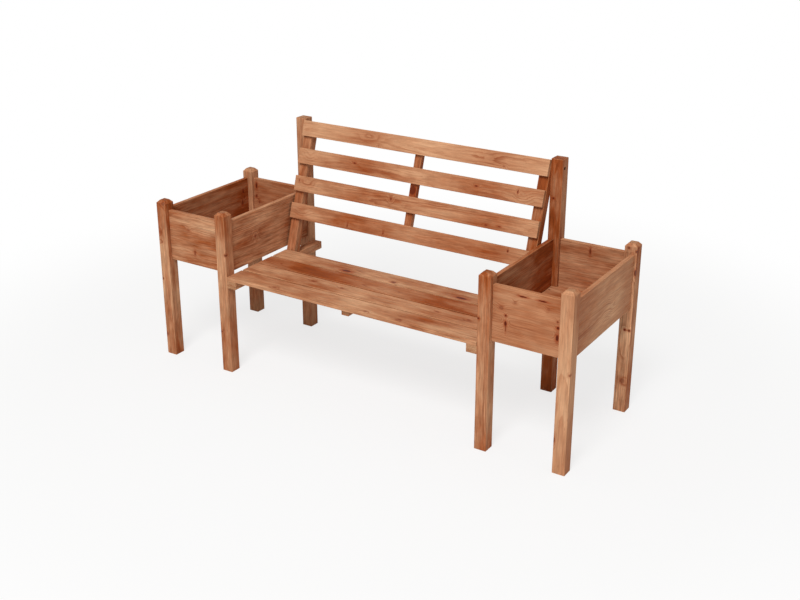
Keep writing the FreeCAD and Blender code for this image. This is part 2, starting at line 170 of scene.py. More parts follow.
class Graph:
    """Short calls for building a node tree."""

    def __init__(self, tree):
        self.tree = tree

    def add(self, kind, settings=None, **inputs):
        """Adds a node. A value given for an input is a socket to link or a constant to set."""
        node = self.tree.nodes.new(kind)
        for name, value in (settings or {}).items():
            setattr(node, name, value)
        for name, value in inputs.items():
            self.feed(node.inputs[name.replace("_", " ")], value)
        return node

    def feed(self, socket, value):
        if isinstance(value, bpy.types.NodeSocket):
            self.tree.links.new(value, socket)
        elif value is not None:
            socket.default_value = value

    def math(self, operation, *values, clamp=False):
        node = self.add("ShaderNodeMath", {"operation": operation, "use_clamp": clamp})
        for socket, value in zip(node.inputs, values):
            self.feed(socket, value)
        return node.outputs[0]

    def vector(self, operation, *values):
        node = self.add("ShaderNodeVectorMath", {"operation": operation})
        for socket, value in zip(node.inputs, values):
            self.feed(socket, value)
        return node.outputs["Value" if operation in ("LENGTH", "DOT_PRODUCT") else "Vector"]

    def parts(self, vector):
        return self.add("ShaderNodeSeparateXYZ", Vector=vector).outputs

    def join(self, x, y, z):
        return self.add("ShaderNodeCombineXYZ", X=x, Y=y, Z=z).outputs[0]

    def ramp(self, value, low, high, to_low=0.0, to_high=1.0):
        """A smooth step from one level to another."""
        node = self.add("ShaderNodeMapRange", {"interpolation_type": "SMOOTHSTEP"})
        for name, level in zip(("From Min", "From Max", "To Min", "To Max"), (low, high, to_low, to_high)):
            node.inputs[name].default_value = level
        self.feed(node.inputs["Value"], value)
        return node.outputs["Result"]

    def noise(self, vector, waves, detail, roughness):
        """Noise with its own frequency along each axis, in waves per metre."""
        scaled = self.vector("MULTIPLY", vector, waves)
        return self.add("ShaderNodeTexNoise", Vector=scaled, Scale=1.0, Detail=detail, Roughness=roughness)

    def bump(self, height, strength, distance):
        return self.add("ShaderNodeBump", Height=height, Strength=strength, Distance=distance).outputs[0]

    def mix(self, factor, below, above, blend="MIX"):
        node = self.add("ShaderNodeMix", {"data_type": "RGBA", "blend_type": blend, "clamp_factor": True})
        for index, value in ((0, factor), (6, below), (7, above)):
            self.feed(node.inputs[index], value)
        return node.outputs[2]


def new_group(name, inputs, outputs):
    """A node group with the given sockets, and its graph, inputs and output node."""
    tree = bpy.data.node_groups.new(name, "ShaderNodeTree")
    for direction, sockets in (("INPUT", inputs), ("OUTPUT", outputs)):
        for socket, kind in sockets.items():
            tree.interface.new_socket(socket, in_out=direction, socket_type=f"NodeSocket{kind}")
    graph = Graph(tree)
    return graph, graph.add("NodeGroupInput").outputs, graph.add("NodeGroupOutput")


def radii_away(graph, given):
    """The distance from a centre, measured in radii."""
    offset = graph.vector("SUBTRACT", given["Point"], given["Centre"])
    return graph.vector("LENGTH", graph.vector("DIVIDE", offset, given["Radii"]))


def seeded_point(graph, given):
    """The point shifted by the piece's seed, so that no two pieces have the same grain."""
    return graph.vector("ADD", given["Point"], graph.vector("MULTIPLY", SEED_SHIFT, given["Seed"]))


def knot_group():
    """One knot: an ellipsoid of dark wood with a rim, which pushes the rings aside."""
    sums = {"Core": "Float", "Rim": "Float", "Bulge": "Float"}
    places = {"Point": "Vector", "Centre": "Vector", "Radii": "Vector", "Strength": "Float"}
    graph, given, result = new_group("knot", {**places, **sums}, sums)
    away = radii_away(graph, given)
    core = graph.math("MULTIPLY", graph.ramp(away, *STEPS["knot_core"]), given["Strength"])
    rim = graph.math("MULTIPLY", graph.ramp(away, *STEPS["knot_rim"]), given["Strength"])
    bulge = graph.ramp(away, *STEPS["knot_bulge"])
    graph.feed(result.inputs["Core"], graph.math("MAXIMUM", core, given["Core"]))
    graph.feed(result.inputs["Rim"], graph.math("MAXIMUM", rim, given["Rim"]))
    graph.feed(result.inputs["Bulge"], graph.math("ADD", bulge, given["Bulge"]))
    return graph.tree


def patch_group():
    """A soft-edged stretch of deeper or paler tone, from stain that took unevenly, and in one place painted
    shade.
    """
    inputs = {"Point": "Vector", "Centre": "Vector", "Radii": "Vector", "Shift": "Float", "Tone": "Float"}
    graph, given, result = new_group("patch", inputs, {"Tone": "Float"})
    within = graph.ramp(radii_away(graph, given), *STEPS["patch"])
    shift = graph.math("MULTIPLY", within, given["Shift"])
    graph.feed(result.inputs[0], graph.math("ADD", shift, given["Tone"]))
    return graph.tree


def warp_group():
    """A point of the timber shaken a little for knots, and drifted further for patches of stain."""
    outputs = {"Shaken": "Vector", "Drifted": "Vector"}
    graph, given, result = new_group("warp", {"Point": "Vector", "Seed": "Float"}, outputs)
    seeded = seeded_point(graph, given)
    for name, settings, reach in (
        ("Shaken", SHAKE_NOISE, SHAKE_REACH),
        ("Drifted", DRIFT_NOISE, DRIFT_REACH),
    ):
        shake = graph.vector("SUBTRACT", graph.noise(seeded, *settings).outputs["Color"], NOISE_MIDDLE)
        graph.feed(result.inputs[name], graph.vector("MULTIPLY_ADD", shake, reach, given["Point"]))
    return graph.tree


def edge_mask(graph, point, half, noise):
    """1 on the long edges and ends of a piece, 0 away from them, broken up by noise."""
    gaps = graph.parts(graph.vector("SUBTRACT", half, graph.vector("ABSOLUTE", point)))
    nearest = graph.math("MINIMUM", gaps[0], gaps[1])
    farther = graph.math("MAXIMUM", gaps[0], gaps[1])
    second = graph.math("MAXIMUM", nearest, graph.math("MINIMUM", farther, gaps[2]))
    reach = graph.math("MULTIPLY", graph.ramp(noise, *STEPS["worn_and_highlit_reach"]), EDGE_REACH)
    return graph.math("SUBTRACT", 1.0, graph.math("DIVIDE", second, reach), clamp=True)


def softwood_group():
    """Softwood sawn from a log: rings round a pith, bands of heartwood and sapwood, fibres and knots."""
    inputs = {
        "Point": "Vector", "Half": "Vector", "Normal": "Vector", "Seed": "Float", "Pith": "Vector",
        "Tilt": "Vector", "Tone": "Float", "Figure": "Float",
        "Core": "Float", "Rim": "Float", "Bulge": "Float",
    }
    outputs = {"Color": "Color", "Roughness": "Float", "Normal": "Vector"}
    graph, given, result = new_group("softwood", inputs, outputs)
    seeded = seeded_point(graph, given)
    noise = {name: graph.noise(seeded, *settings).outputs for name, settings in WOOD_NOISES.items()}
    stain = noise["stain"]["Fac"]
    fibre = noise["fibre"]["Fac"]

    # Rings round the pith, which wanders along the piece
    ahead = graph.parts(given["Point"])[0]
    from_pith = graph.vector("SUBTRACT", given["Point"], given["Pith"])
    from_pith = graph.vector("MULTIPLY_ADD", given["Tilt"], graph.join(ahead, ahead, ahead), from_pith)
    for name, reach in (("wander", RING_WANDER), ("waver", RING_WAVER)):
        stray = graph.vector("SUBTRACT", noise[name]["Color"], NOISE_MIDDLE)
        from_pith = graph.vector("MULTIPLY_ADD", stray, (0, 2 * reach, 2 * reach), from_pith)
    radius = graph.vector("LENGTH", graph.vector("MULTIPLY", from_pith, (0.0, 1.0, 1.0)))
    radius = graph.math("MULTIPLY_ADD", given["Bulge"], KNOT_BULGE, radius)

    # The dark late wood of each ring, stronger in some rings and in stretches of strong figure
    rings = graph.math("DIVIDE", radius, RING_SPACING)
    phase = graph.math("FRACT", rings)
    late = graph.math(
        "MULTIPLY", graph.ramp(phase, *STEPS["late_wood"]), graph.ramp(phase, *STEPS["ring_edge"])
    )
    strength = graph.add("ShaderNodeTexWhiteNoise", {"noise_dimensions": "1D"}, W=graph.math("FLOOR", rings))
    strength = graph.ramp(strength.outputs["Value"], *STEPS["ring_strength"])
    figure = graph.math("MULTIPLY_ADD", given["Bulge"], KNOT_IN_FIGURE, noise["figure"]["Fac"])
    late = graph.math("MULTIPLY", late, strength)
    late = graph.math("MULTIPLY", late, graph.ramp(figure, *STEPS["figure"]))

    # The tone: bands of colour that follow the rings, stain that took unevenly and fine streaks
    by_ring = graph.join(
        graph.math("MULTIPLY", graph.parts(seeded)[0], BAND_WAVES[0]),
        graph.math("MULTIPLY", radius, BAND_WAVES[1]),
        given["Seed"],
    )
    band = graph.add(
        "ShaderNodeTexNoise", Vector=by_ring, Scale=1.0, Detail=BAND_DETAIL, Roughness=BAND_ROUGHNESS
    ).outputs["Fac"]
    uneven = graph.math("SUBTRACT", band, 0.5)
    for part, share in ((stain, STAIN_IN_TONE), (noise["streak"]["Fac"], STREAK_IN_TONE)):
        uneven = graph.math("MULTIPLY_ADD", graph.math("SUBTRACT", part, 0.5), share, uneven)
    spread = graph.math("MULTIPLY", given["Figure"], TONE_SPREAD)
    tone = graph.math("MULTIPLY_ADD", uneven, spread, given["Tone"])
    beyond_deep = graph.math("MULTIPLY_ADD", tone, 1 / (DARKEST_TONE - 1), -1 / (DARKEST_TONE - 1))
    color = graph.mix(tone, PALE_WOOD, DEEP_WOOD)
    color = graph.mix(beyond_deep, color, DARKEST_WOOD)

    # Late wood, short dark flecks, fibres, knots, end grain, and edges lightened as wear and partly as a
    # painted highlight
    fleck = graph.ramp(noise["speck"]["Fac"], *STEPS["fleck"])
    color = graph.mix(graph.math("MULTIPLY", late, LATE_WOOD_SHARE), color, LATE_WOOD, "MULTIPLY")
    color = graph.mix(graph.math("MULTIPLY", fleck, FLECK_SHARE), color, FLECK)
    shade = graph.ramp(fibre, *STEPS["fibre_shade"])
    shade = graph.math("MULTIPLY_ADD", shade, given["Figure"], 1.0)
    color = graph.mix(1.0, color, graph.join(shade, shade, shade), "MULTIPLY")
    color = graph.mix(graph.math("MULTIPLY", given["Rim"], KNOT_RIM_SHARE), color, KNOT_RIM)
    color = graph.mix(graph.math("MULTIPLY", given["Core"], KNOT_CORE_SHARE), color, KNOT_HEART)
    end_on = graph.ramp(graph.math("ABSOLUTE", graph.parts(given["Normal"])[0]), *STEPS["end_on"])
    color = graph.mix(end_on, color, END_GRAIN, "MULTIPLY")
    # Lighter edges: worn wood and partly a painted highlight
    worn_and_highlit = edge_mask(graph, given["Point"], given["Half"], stain)
    color = graph.mix(graph.math("MULTIPLY", worn_and_highlit, WORN_EDGE_AND_HIGHLIGHT_SHARE), color, WORN_EDGE_AND_HIGHLIGHT)
    graph.feed(result.inputs["Color"], color)

    rough = graph.ramp(fibre, *STEPS["wood_roughness"])
    for part, share in ((late, LATE_ROUGHNESS), (given["Core"], KNOT_ROUGHNESS), (worn_and_highlit, WORN_ROUGHNESS)):
        rough = graph.math("MULTIPLY_ADD", part, share, rough)
    graph.feed(result.inputs["Roughness"], rough)

    height = graph.math("MULTIPLY", fibre, FIBRE_HEIGHT)
    for part, share in ((late, LATE_HEIGHT), (given["Core"], KNOT_HEIGHT)):
        height = graph.math("MULTIPLY_ADD", part, share, height)
    graph.feed(result.inputs["Normal"], graph.bump(height, *WOOD_BUMP))
    return graph.tree


WARP = warp_group()
PATCH = patch_group()
KNOT = knot_group()
SOFTWOOD = softwood_group()


def new_material(name):
    """An empty material and its graph."""
    material = bpy.data.materials.new(name)
    material.use_nodes = True
    material.node_tree.nodes.clear()
    return material, Graph(material.node_tree)


def finish_material(graph, color, roughness, normal, metallic=0.0, specular=0.5):
    """Adds the shader and the output."""
    shader = graph.add(
        "ShaderNodeBsdfPrincipled", Base_Color=color, Metallic=metallic, Roughness=roughness, Normal=normal
    )
    shader.inputs["Specular IOR Level"].default_value = specular
    graph.add("ShaderNodeOutputMaterial", Surface=shader.outputs[0])


X_AXIS = Vector((1, 0, 0))
Y_AXIS = Vector((0, 1, 0))
Z_AXIS = Vector((0, 0, 1))


def middle(node):
    """The middle of a node's box."""
    low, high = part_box(node)
    return (Vector(low) + Vector(high)) / 2


# Up the face of the leaning backrest, and square to it
SLOPE = (middle("back_board_4") - middle("back_board_1")).normalized()
SLOPE_BACK = SLOPE.cross(X_AXIS).normalized()

# The pieces' own axes: along the grain, across the face and through the thickness
AXES = {
    "post": (Z_AXIS, X_AXIS, Y_AXIS),
    "front_panel": (X_AXIS, Z_AXIS, Y_AXIS),
    "rear_panel": (X_AXIS, Z_AXIS, Y_AXIS),
    "inner_panel": (Y_AXIS, Z_AXIS, X_AXIS),
    "outer_panel": (Y_AXIS, Z_AXIS, X_AXIS),
    "cleat": (Y_AXIS, X_AXIS, Z_AXIS),
    "floor_board": (X_AXIS, Y_AXIS, Z_AXIS),
    "bearer": (Y_AXIS, X_AXIS, Z_AXIS),
    "seat_board": (X_AXIS, Y_AXIS, Z_AXIS),
    "back_board": (X_AXIS, SLOPE, SLOPE_BACK),
    "strut": (SLOPE, X_AXIS, SLOPE_BACK),
    "batten": (SLOPE, X_AXIS, SLOPE_BACK),
}


def axes_of(node):
    """The axes of the first kind of piece that a node's name holds."""
    return next(axes for kind, axes in AXES.items() if kind in node)


def extent(node, axes):
    """A piece's centre and half sizes along its own axes."""
    vertices = [vertex.co for vertex in nodes[node].data.vertices]
    low = [min(vertex.dot(axis) for vertex in vertices) for axis in axes]
    high = [max(vertex.dot(axis) for vertex in vertices) for axis in axes]
    centre = sum((axis * (a + b) / 2 for axis, a, b in zip(axes, low, high)), Vector())
    half = Vector([(b - a) / 2 for a, b in zip(low, high)])
    return centre, half


# How deep the stain looks on each piece: 0 is pale, 1 deep and 1.5 darkest
TONES = {
    "left_front_outer_post": 0.52,
    "left_front_inner_post": 0.54,
    "left_rear_outer_post": 0.45,
    "left_tall_post": 0.45,
    "left_front_panel": 0.68,
    "left_inner_panel": 0.50,
    "left_outer_panel": 0.85,
    "left_rear_panel": 0.62,
    "right_front_outer_post": 0.30,
    "right_front_inner_post": 0.80,
    "right_rear_outer_post": 0.22,
    "right_tall_post": 0.80,
    "right_front_panel": 0.62,
    "right_inner_panel": 0.88,
    "right_outer_panel": 0.45,
    "right_rear_panel": 0.52,
    "seat_board_3": 0.85,
    "seat_board_1": 0.44,
    "back_board_4": 0.36,
    "back_board_3": 0.55,
    "back_board_2": 0.58,
    "back_board_1": 0.66,
    "middle_back_batten": 0.92,
    "right_back_strut": 0.85,
    "left_back_strut": 0.80,
}
USUAL_TONE = 0.50
# Tone of the floor boards inside the boxes, deeper than the usual tone as painted shade inside the boxes
BOX_FLOOR_TONE_WITH_SHADE = 0.72

# How much deeper, or paler below 0, the right-hand face of a piece is coloured than its other faces
SIDE_TONES = {
    "left_front_outer_post": 0.16,
    "right_front_inner_post": -0.18,
    "right_front_outer_post": 0.20,
    "right_rear_outer_post": 0.48,
    "right_tall_post": -0.15,
}

# Paler and darker stretches along every piece of a kind, at the same shares of its length: the distance
# between the paler ones, the place of one and the change of tone there. On a post they leave it darker
# towards both ends, most towards the floor
WAVES = {
    "post": (1.10, 0.58, -0.17),
    "board": (0.52, 0.55, -0.14),
    "inner_panel": (1.10, 0.45, -0.14),
    "outer_panel": (1.10, 0.52, -0.16),
}

# How much each piece varies in colour, where that isn't 1
FIGURE = {
    "right_front_panel": 0.6,
    "right_front_outer_post": 0.65,
    "left_rear_panel": 0.8,
    "right_outer_panel": 0.65,
    "left_inner_panel": 1.2,
    "back_board_1": 0.70,
    "back_board_2": 0.80,
    "back_board_3": 0.75,
    "back_board_4": 0.60,
    "seat_board_3": 0.70,
    "left_front_outer_post": 1.2,
    "right_rear_outer_post": 1.2,
}

# Knots and dark flecks that show from the front, each through its whole board: the place as shares of the
# piece's length and width, the radii along and across the grain, and the strength. One of no strength only
# bends the rings
MARKS = {
    "right_front_panel": [
        (0.44, 0.90, 0.0170, 0.0030, 1.0),
        (0.72, 0.90, 0.0180, 0.0030, 1.0),
        (0.200, 0.37, 0.0052, 0.0105, 1.0),
        (0.205, 0.29, 0.0026, 0.0160, 0.6),
        (0.200, 0.51, 0.0046, 0.0046, 0.9),
        (0.13, 0.63, 0.0100, 0.0080, 0.40),
        (0.950, 0.51, 0.0056, 0.0052, 1.0),
        (0.945, 0.34, 0.0056, 0.0135, 1.0),
        (0.940, 0.61, 0.0036, 0.0050, 0.6),
        (0.33, 0.77, 0.0070, 0.0060, 0.30),
        (0.81, 0.79, 0.0070, 0.0060, 0.30),
    ],
    "left_front_panel": [
        (0.39, 0.69, 0.0090, 0.0070, 0.35),
        (0.50, 0.25, 0.0050, 0.0120, 0.60),
    ],
    "left_rear_panel": [
        (0.06, 0.85, 0.0055, 0.0150, 0.9),
        (0.05, 0.62, 0.0060, 0.0070, 0.8),
        (0.11, 0.50, 0.0050, 0.0070, 0.6),
        (0.90, 0.60, 0.0045, 0.0140, 0.7),
    ],
    "left_outer_panel": [
        (0.930, 0.75, 0.0050, 0.0110, 0.9),
        (0.915, 0.52, 0.0050, 0.0130, 0.8),
        (0.945, 0.62, 0.0040, 0.0060, 0.7),
        (0.30, 0.40, 0.0070, 0.0060, 0.5),
    ],
    "left_inner_panel": [
        (0.55, 0.85, 0.0400, 0.0120, 0.0),
        (0.30, 0.50, 0.0150, 0.0110, 0.0),
        (0.30, 0.50, 0.0070, 0.0070, 0.5),
        (0.80, 0.42, 0.0045, 0.0100, 0.6),
        (0.83, 0.66, 0.0045, 0.0060, 0.5),
    ],
    "right_outer_panel": [(0.62, 0.50, 0.0150, 0.0130, 0.0), (0.52, 0.30, 0.0160, 0.0100, 0.0)],
    "right_rear_panel": [(0.47, 0.88, 0.0042, 0.0130, 0.8), (0.75, 0.30, 0.0080, 0.0060, 0.4)],
    "back_board_4": [
        (0.84, 0.16, 0.0050, 0.0040, 0.35),
        (0.34, 0.14, 0.0050, 0.0040, 0.30),
        (0.30, 0.60, 0.0200, 0.0060, 0.0),
    ],
    "back_board_3": [
        (0.93, 0.40, 0.0140, 0.0100, 0.0),
        (0.05, 0.55, 0.0120, 0.0080, 0.0),
        (0.25, 0.62, 0.0070, 0.0030, 0.9),
        (0.75, 0.56, 0.0070, 0.0035, 0.8),
        (0.906, 0.66, 0.0030, 0.0070, 0.8),
    ],
    "back_board_2": [
        (0.94, 0.35, 0.0140, 0.0090, 0.0),
        (0.06, 0.55, 0.0160, 0.0080, 0.0),
        (0.425, 0.62, 0.0060, 0.0070, 0.55),
        (0.02, 0.70, 0.0030, 0.0060, 0.50),
        (0.81, 0.20, 0.0060, 0.0030, 0.65),
        (0.86, 0.26, 0.0070, 0.0025, 0.65),
    ],
    "back_board_1": [
        (0.05, 0.45, 0.0160, 0.0070, 0.0),
        (0.26, 0.22, 0.0040, 0.0080, 0.45),
        (0.415, 0.22, 0.0040, 0.0060, 0.45),
        (0.906, 0.75, 0.0030, 0.0050, 0.9),
    ],
    "seat_board_4": [
        (0.32, 0.22, 0.0230, 0.0090, 1.0),
        (0.52, 0.20, 0.0130, 0.0070, 0.80),
        (0.79, 0.22, 0.0280, 0.0090, 1.0),
    ],
    "seat_board_2": [
        (0.28, 0.60, 0.0090, 0.0050, 0.50),
        (0.40, 0.60, 0.0100, 0.0050, 0.50),
        (0.78, 0.62, 0.0100, 0.0050, 0.45),
        (0.90, 0.58, 0.0080, 0.0050, 0.60),
    ],
    "seat_board_1": [
        (0.20, 0.20, 0.0110, 0.0050, 0.45),
        (0.58, 0.16, 0.0090, 0.0050, 0.45),
        (0.71, 0.20, 0.0110, 0.0050, 0.50),
    ],
    "middle_back_batten": [(0.50, 0.45, 0.0220, 0.0180, 0.85)],
}

# Stretches that took the stain more deeply or less, and one of painted shade on the right-hand tall post
# inside its box: the place as shares of the piece's length and width, the radii along and across the grain,
# and the change of tone
PATCHES = {
    "left_front_outer_post": [
        (0.90, 0.50, 0.110, 0.060, 0.28),
        (0.36, 0.50, 0.090, 0.060, -0.18),
        (0.08, 0.50, 0.110, 0.060, -0.18),
    ],
    "right_front_inner_post": [(0.20, 0.50, 0.140, 0.060, -0.38)],
    "right_tall_post": [
        # Deeper where the post stands inside the right-hand box: painted shade
        (0.62, 0.50, 0.130, 0.060, 0.26),
        (0.76, 0.25, 0.050, 0.018, 0.30),
        (0.955, 0.50, 0.020, 0.006, 0.30),
    ],
    "left_front_panel": [
        (0.66, 0.84, 0.160, 0.040, -0.38),
        (0.50, 0.47, 0.140, 0.020, 0.06),
        (0.30, 0.22, 0.060, 0.020, -0.15),
        (0.80, 0.10, 0.060, 0.022, 0.20),
    ],
    "right_front_panel": [(0.25, 0.80, 0.060, 0.030, -0.12), (0.85, 0.85, 0.050, 0.030, 0.12)],
    "right_outer_panel": [(0.70, 0.35, 0.080, 0.050, -0.20), (0.55, 0.95, 0.300, 0.045, 0.15)],
    "back_board_4": [(0.25, 0.30, 0.120, 0.018, 0.22), (0.60, 0.75, 0.200, 0.016, -0.12)],
    "back_board_3": [
        (0.35, 0.30, 0.120, 0.016, 0.18),
        (0.48, 0.60, 0.110, 0.014, -0.30),
        (0.70, 0.50, 0.100, 0.030, 0.15),
    ],
    "back_board_2": [
        (0.40, 0.60, 0.050, 0.020, 0.30),
        (0.62, 0.40, 0.160, 0.016, -0.15),
        (0.20, 0.50, 0.260, 0.050, -0.10),
        (0.85, 0.50, 0.180, 0.050, 0.12),
    ],
    "back_board_1": [(0.10, 0.40, 0.050, 0.016, -0.30), (0.25, 0.60, 0.080, 0.020, 0.18)],
    "seat_board_1": [(0.85, 0.30, 0.150, 0.020, -0.35), (0.08, 0.50, 0.150, 0.040, 0.22)],
    "seat_board_2": [(0.30, 0.80, 0.300, 0.020, -0.20), (0.85, 0.45, 0.100, 0.030, 0.20)],
    "seat_board_3": [
        (0.15, 0.50, 0.180, 0.040, 0.20),
        (0.90, 0.50, 0.140, 0.040, -0.45),
    ],
}

# Knots on the front faces of the posts, given as in MARKS
POST_MARKS = {
    "right_front_inner_post": [(0.75, 0.07, 0.0040, 0.0050, 0.9)],
    "right_front_outer_post": [(0.565, 0.96, 0.0040, 0.0040, 0.6), (0.19, 0.04, 0.0120, 0.0040, 0.6)],
    "left_front_outer_post": [
        (0.985, 0.75, 0.0090, 0.0110, 0.45),
        (0.80, 0.22, 0.0090, 0.0060, 0.35),
        (0.74, 0.30, 0.0060, 0.0070, 0.30),
        (0.50, 0.14, 0.0040, 0.0040, 0.7),
        (0.13, 0.15, 0.0100, 0.0040, 0.6),
    ],
    "left_front_inner_post": [(0.75, 0.97, 0.0050, 0.0050, 0.8), (0.255, 0.10, 0.0040, 0.0060, 0.7)],
    "right_rear_outer_post": [
        (0.975, 0.35, 0.0060, 0.0060, 0.6),
        (0.960, 0.97, 0.0050, 0.0040, 0.9),
        (0.840, 0.98, 0.0140, 0.0040, 0.9),
        (0.40, 0.50, 0.0300, 0.0080, 0.0),
        (0.50, 0.50, 0.0045, 0.0045, 0.9),
        (0.50, 0.86, 0.0045, 0.0045, 0.9),
        (0.19, 0.60, 0.0120, 0.0100, 0.45),
    ],
    "right_tall_post": [(0.84, 0.33, 0.0045, 0.0045, 0.85)],
}


def placed(marks, half, height, depth):
    """Each mark's centre, its radii and its last value, from shares of a piece's length and width."""
    for along, across, length, width, strength in marks:
        centre = ((2 * along - 1) * half.x, (2 * across - 1) * half.y, height)
        yield centre, (length, width, depth), strength


def marked_knots(node, half):
    """The knots seen from the front: through a board, or on a post's front face."""
    through = placed(MARKS.get(node, []), half, 0.0, THROUGH_KNOT_DEPTH)
    on_front = placed(POST_MARKS.get(node, []), half, -half.z, FACE_KNOT_DEPTH)
    return [*through, *on_front]


def painted_bore_shade_mask(graph, place):
    """1 on the wall of the hole that a strut's bolt is sunk in, along the line of both bolts, where shade is
    painted on the wood.
    """
    offset = graph.vector("SUBTRACT", place, tuple(middle("strut_bolts")))
    away = graph.vector("LENGTH", graph.vector("MULTIPLY", offset, (0.0, 1.0, 1.0)))
    return graph.ramp(away, BORE_RADIUS + BORE_EDGE, BORE_RADIUS)


def stray_knots(half, chance):
    """Knots strewn over a piece, through a board or on one side of a thick one."""
    knots = []
    for _ in range(round(2 * half.x * STRAY_KNOTS_PER_METRE + chance.uniform(-0.5, 0.5))):
        centre = [chance.uniform(-STRAY_KNOT_REACH, STRAY_KNOT_REACH) * size for size in half]
        radii = [chance.uniform(*STRAY_KNOT_RADII) for _ in range(2)] + [THROUGH_KNOT_DEPTH]
        if half.z > THROUGH_KNOT_DEPTH / 2:
            side = chance.choice((1, 2))
            centre[side] = chance.choice((-1, 1)) * half[side]
            radii = [radii[0], radii[1], radii[1]]
            radii[side] = FACE_KNOT_DEPTH
        knots.append((tuple(centre), tuple(radii), chance.uniform(*STRAY_KNOT_STRENGTHS)))
    return knots


def wave(graph, point, half, period, crest):
    """A wave along a piece, 1 at its crests and -1 between them."""
    share = graph.math("MULTIPLY_ADD", graph.parts(point)[0], 0.5 / half.x, 0.5 - crest)
    return graph.math("COSINE", graph.math("MULTIPLY", share, math.tau / period))


def toned(graph, node, half, point, drifted, facing_right):
    """The tone of a piece: its own, with its right-hand face, paler stretches and patches. The floor boards
    in the boxes and the right-hand tall post inside its box are toned deeper as painted shade.
    """
    # Floor boards in the boxes take the deeper tone that paints shade inside the boxes
    tone = TONES.get(node, BOX_FLOOR_TONE_WITH_SHADE if "floor" in node else USUAL_TONE)
    if node in SIDE_TONES:
        tone = graph.ramp(facing_right, *STEPS["facing_right"], tone, tone + SIDE_TONES[node])
    for kind, (period, crest, height) in WAVES.items():
        if kind in node:
            tone = graph.math("MULTIPLY_ADD", wave(graph, point, half, period, crest), height, tone)
    for centre, radii, shift in placed(PATCHES.get(node, []), half, 0.0, PATCH_DEPTH):
        tone = graph.add(
            "ShaderNodeGroup", {"node_tree": PATCH}, Point=drifted, Centre=centre, Radii=radii, Shift=shift,
            Tone=tone,
        ).outputs[0]
    return tone


def timber_material(node):
    """Stained softwood cut along the piece's own axes, with its own grain and knots."""
    chance = random.Random(node)
    axes = axes_of(node)
    centre, half = extent(node, axes)
    material, graph = new_material(f"stained_wood_{node}")
    place = graph.add("ShaderNodeTexCoord").outputs
    offset = graph.vector("SUBTRACT", place["Object"], tuple(centre))
    point = graph.join(*[graph.vector("DOT_PRODUCT", offset, tuple(axis)) for axis in axes])
    normal = graph.join(*[graph.vector("DOT_PRODUCT", place["Normal"], tuple(axis)) for axis in axes])

    seed = chance.uniform(0, HIGHEST_SEED)
    pith_side = chance.choice((-1, 1))
    aside = chance.uniform(-PITH_ASIDE, PITH_ASIDE) * half.y
    pith = (0.0, aside, pith_side * (half.z + chance.uniform(*PITH_BEYOND)))
    tilt = (0.0, chance.uniform(-PITH_TILT, PITH_TILT), chance.uniform(-PITH_TILT, PITH_TILT))
    warped = graph.add("ShaderNodeGroup", {"node_tree": WARP}, Point=point, Seed=seed).outputs
    tone = toned(graph, node, half, point, warped["Drifted"], graph.parts(place["Normal"])[0])
    core = rim = bulge = 0.0
    for knot_centre, radii, strength in marked_knots(node, half) or stray_knots(half, chance):
        knot = graph.add(
            "ShaderNodeGroup", {"node_tree": KNOT}, Point=warped["Shaken"], Centre=knot_centre, Radii=radii,
            Strength=strength, Core=core, Rim=rim, Bulge=bulge,
        )
        core, rim, bulge = knot.outputs
    wood = graph.add(
        "ShaderNodeGroup", {"node_tree": SOFTWOOD}, Point=point, Half=tuple(half), Normal=normal, Seed=seed,
        Pith=pith, Tilt=tilt, Tone=tone, Figure=FIGURE.get(node, 1.0), Core=core, Rim=rim, Bulge=bulge,
    ).outputs
    color = wood["Color"]
    # Painted shade on the wall of the bolt hole
    if "tall_post" in node:
        color = graph.mix(painted_bore_shade_mask(graph, place["Object"]), color, BORE_SHADE)
    finish_material(graph, color, wood["Roughness"], wood["Normal"], specular=WOOD_SPECULAR)
    return material


def dowel_material():
    """Bare beech with short dark flecks."""
    material, graph = new_material("bare_beech")
    place = graph.add("ShaderNodeTexCoord").outputs["Object"]
    fleck = graph.noise(place, *BEECH_FLECK_NOISE).outputs["Fac"]
    cloud = graph.noise(place, *BEECH_CLOUD_NOISE).outputs["Fac"]
    color = graph.mix(cloud, PALE_BEECH, DEEP_BEECH)
    color = graph.mix(graph.ramp(fleck, *STEPS["beech_fleck"]), color, BEECH_FLECK)
    rough = graph.ramp(cloud, *STEPS["beech_roughness"])
    finish_material(graph, color, rough, graph.bump(fleck, *BEECH_BUMP))
    return material


def steel_material(name, bright, dull):
    """Plated steel with a dull bloom and fine scratches."""
    material, graph = new_material(name)
    place = graph.add("ShaderNodeTexCoord").outputs["Object"]
    bloom = graph.noise(place, *BLOOM_NOISE).outputs["Fac"]
    scratch = graph.noise(place, *SCRATCH_NOISE).outputs["Fac"]
    color = graph.mix(bloom, bright, dull)
    rough = graph.ramp(bloom, *STEPS["steel_roughness"])
    finish_material(graph, color, rough, graph.bump(scratch, *STEEL_BUMP), metallic=1.0)
    return material


def dress(node, material):
    """Puts one material on all of a node's faces."""
    if not nodes[node].material_slots:
        nodes[node].data.materials.append(material)
    for slot in nodes[node].material_slots:
        slot.material = material


ZINC = steel_material("zinc_plated_steel", BRIGHT_ZINC, DULL_ZINC)
# Bolts: blackened steel, darker as painted shade in their holes
BLACK_STEEL_AND_HOLE_SHADE = steel_material("blackened_steel_and_hole_shade", BRIGHT_BLACK, DULL_BLACK)
BEECH = dowel_material()
for name in sorted(nodes):
    if "dowels" in name:
        dress(name, BEECH)
    elif "screws" in name:
        dress(name, ZINC)
    elif "bolts" in name:
        dress(name, BLACK_STEEL_AND_HOLE_SHADE)
    else:
        dress(name, timber_material(name))


